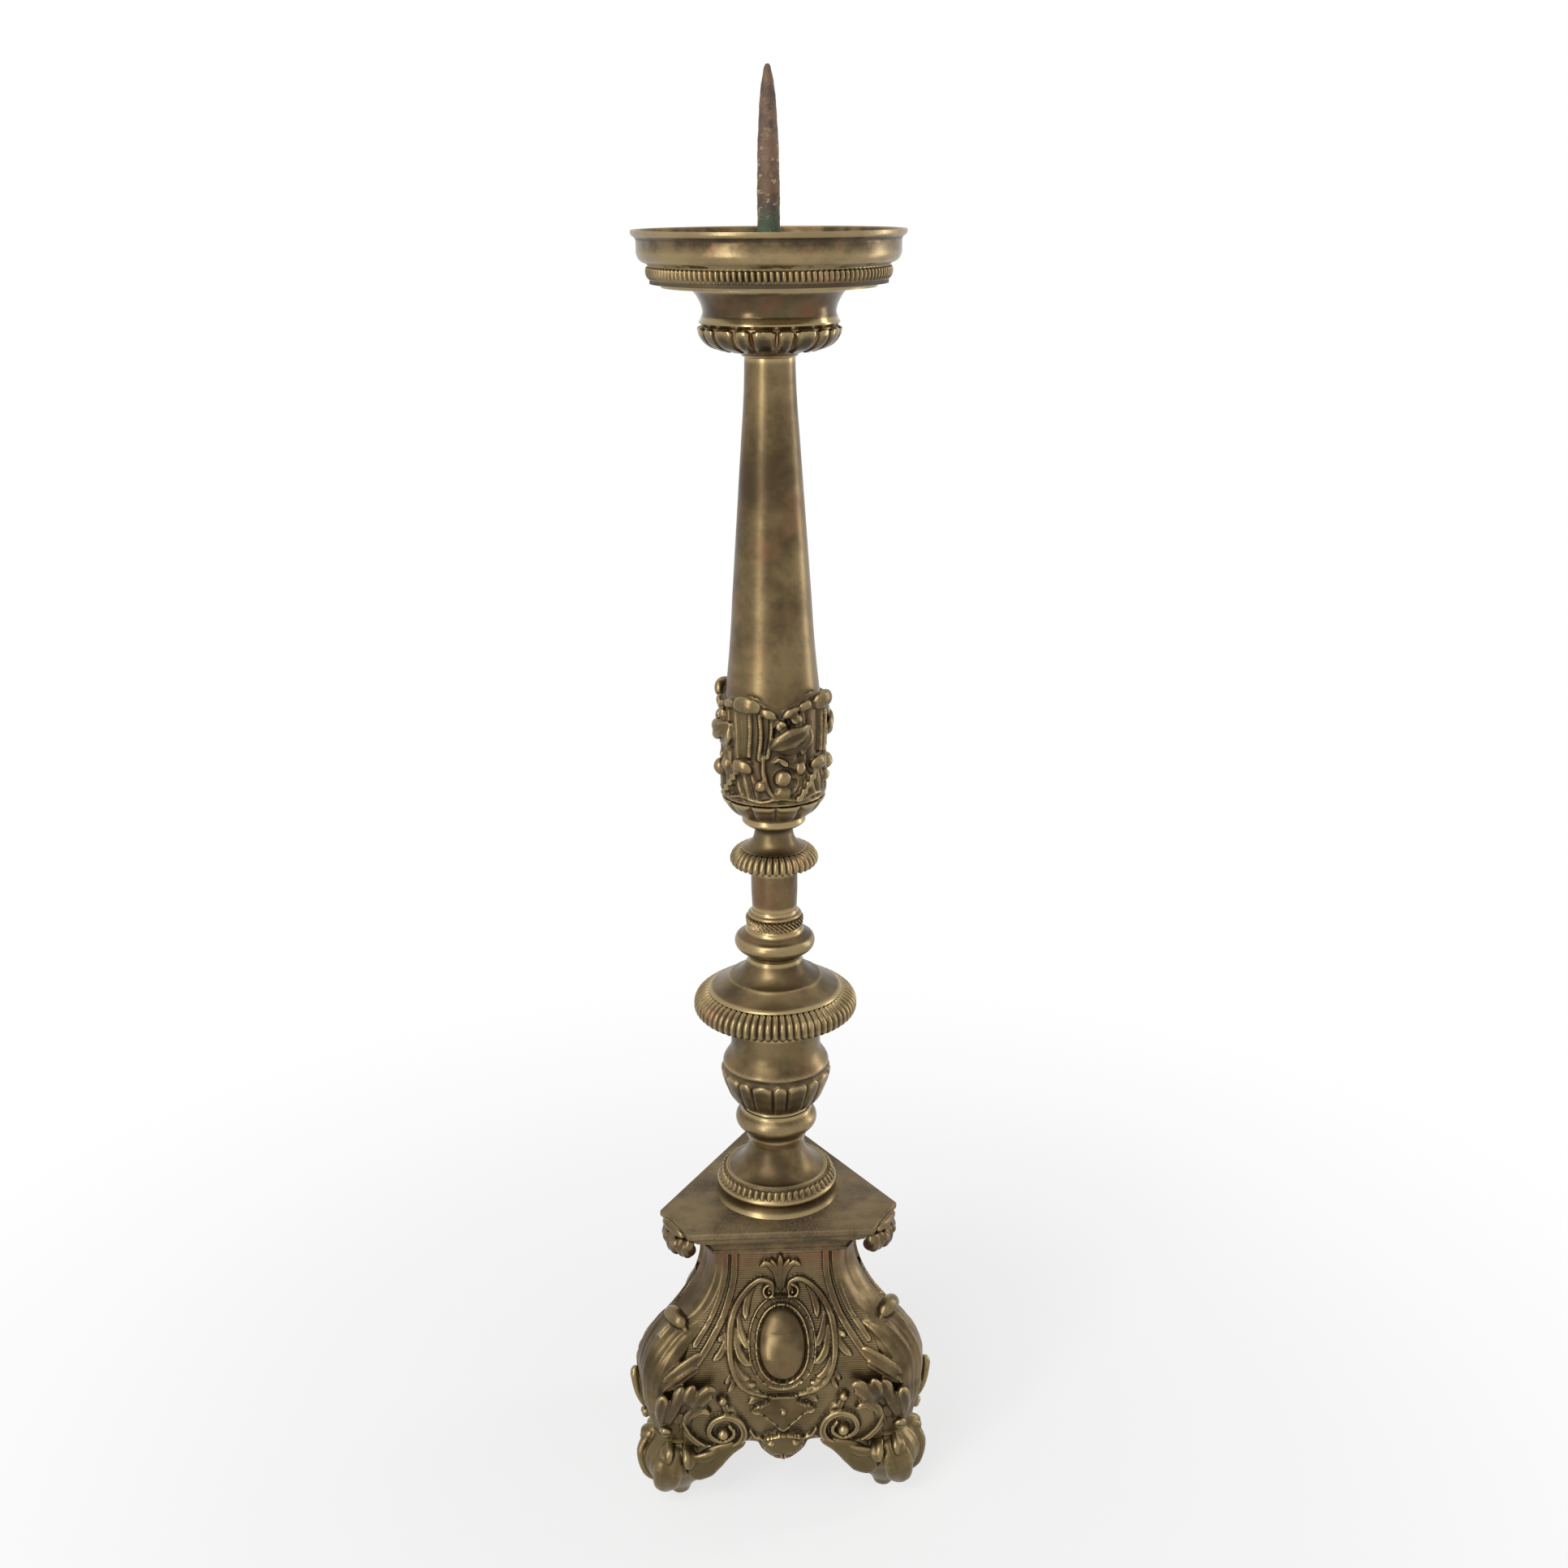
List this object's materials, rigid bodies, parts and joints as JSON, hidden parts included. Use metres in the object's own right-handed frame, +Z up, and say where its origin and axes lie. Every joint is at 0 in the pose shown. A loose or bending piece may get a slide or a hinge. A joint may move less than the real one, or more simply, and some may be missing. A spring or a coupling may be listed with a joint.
{
  "type": "pricket candle stand",
  "caption": "Tall altar-style pricket stand: a turned, leaf-clad stem on a three-sided scroll base, with a lift-off drip pan round an iron spike.",
  "frame": {"origin": "on the floor, under the axis of the stem, midway between the feet", "axes": "+Z up along the stem; -Y points out of the front panel; one foot is at +Y"},
  "size_m": [0.1732, 0.1531, 0.7501],
  "materials": {
    "cast_brass": "cast brass with olive-brown patina, brighter on the high spots",
    "turned_brass": "turned and chased brass with brown patina",
    "leaf_brass": "chased brass leaves, rubbed bright on the ribs",
    "plate_brass": "dull, dusty brass with reddish-brown patina below",
    "pan_brass": "spun brass, reddish outside and wax-stained inside",
    "rusted_iron": "rusted forged iron with bits of wax",
    "black_iron": "black forged iron",
    "steel_screw": "plain steel"
  },
  "bodies": {
    "stand": {"base_bridge": "black_iron", "base_panel_1": "cast_brass", "base_panel_2": "cast_brass", "base_panel_3": "cast_brass", "base_plate": "plate_brass", "bell_foot": "turned_brass", "bridge_screws": "steel_screw", "capital_bowl": "turned_brass", "capital_neck": "turned_brass", "corner_clasp_1": "cast_brass", "corner_clasp_2": "cast_brass", "corner_clasp_3": "cast_brass", "cornice": "plate_brass", "foot_1": "cast_brass", "foot_2": "cast_brass", "foot_3": "cast_brass", "foot_bead_ring": "turned_brass", "foot_screws": "steel_screw", "knop_dome": "turned_brass", "knop_rim": "turned_brass", "leaf_calyx": "leaf_brass", "leaf_sleeve": "leaf_brass", "leg_1": "cast_brass", "leg_2": "cast_brass", "leg_3": "cast_brass", "lower_torus": "turned_brass", "pricket_spike": "rusted_iron", "rope_ring": "turned_brass", "seat_washer": "black_iron", "shaft_tube": "turned_brass", "stem_collar": "turned_brass", "tie_nut": "black_iron", "tie_rod": "black_iron", "tie_washer": "black_iron", "torus_ring": "turned_brass", "upper_disc": "turned_brass", "upper_neck": "turned_brass", "urn_bowl": "turned_brass", "urn_neck": "turned_brass"},
    "pan": {"drip_pan": "pan_brass", "pan_gadroon_ring": "pan_brass"}
  },
  "joints": [
    {"name": "pan_lift", "type": "slide", "parent": "stand", "child": "pan", "axis": [0, 0, 1], "range_m": [0, 0.11]}
  ]
}
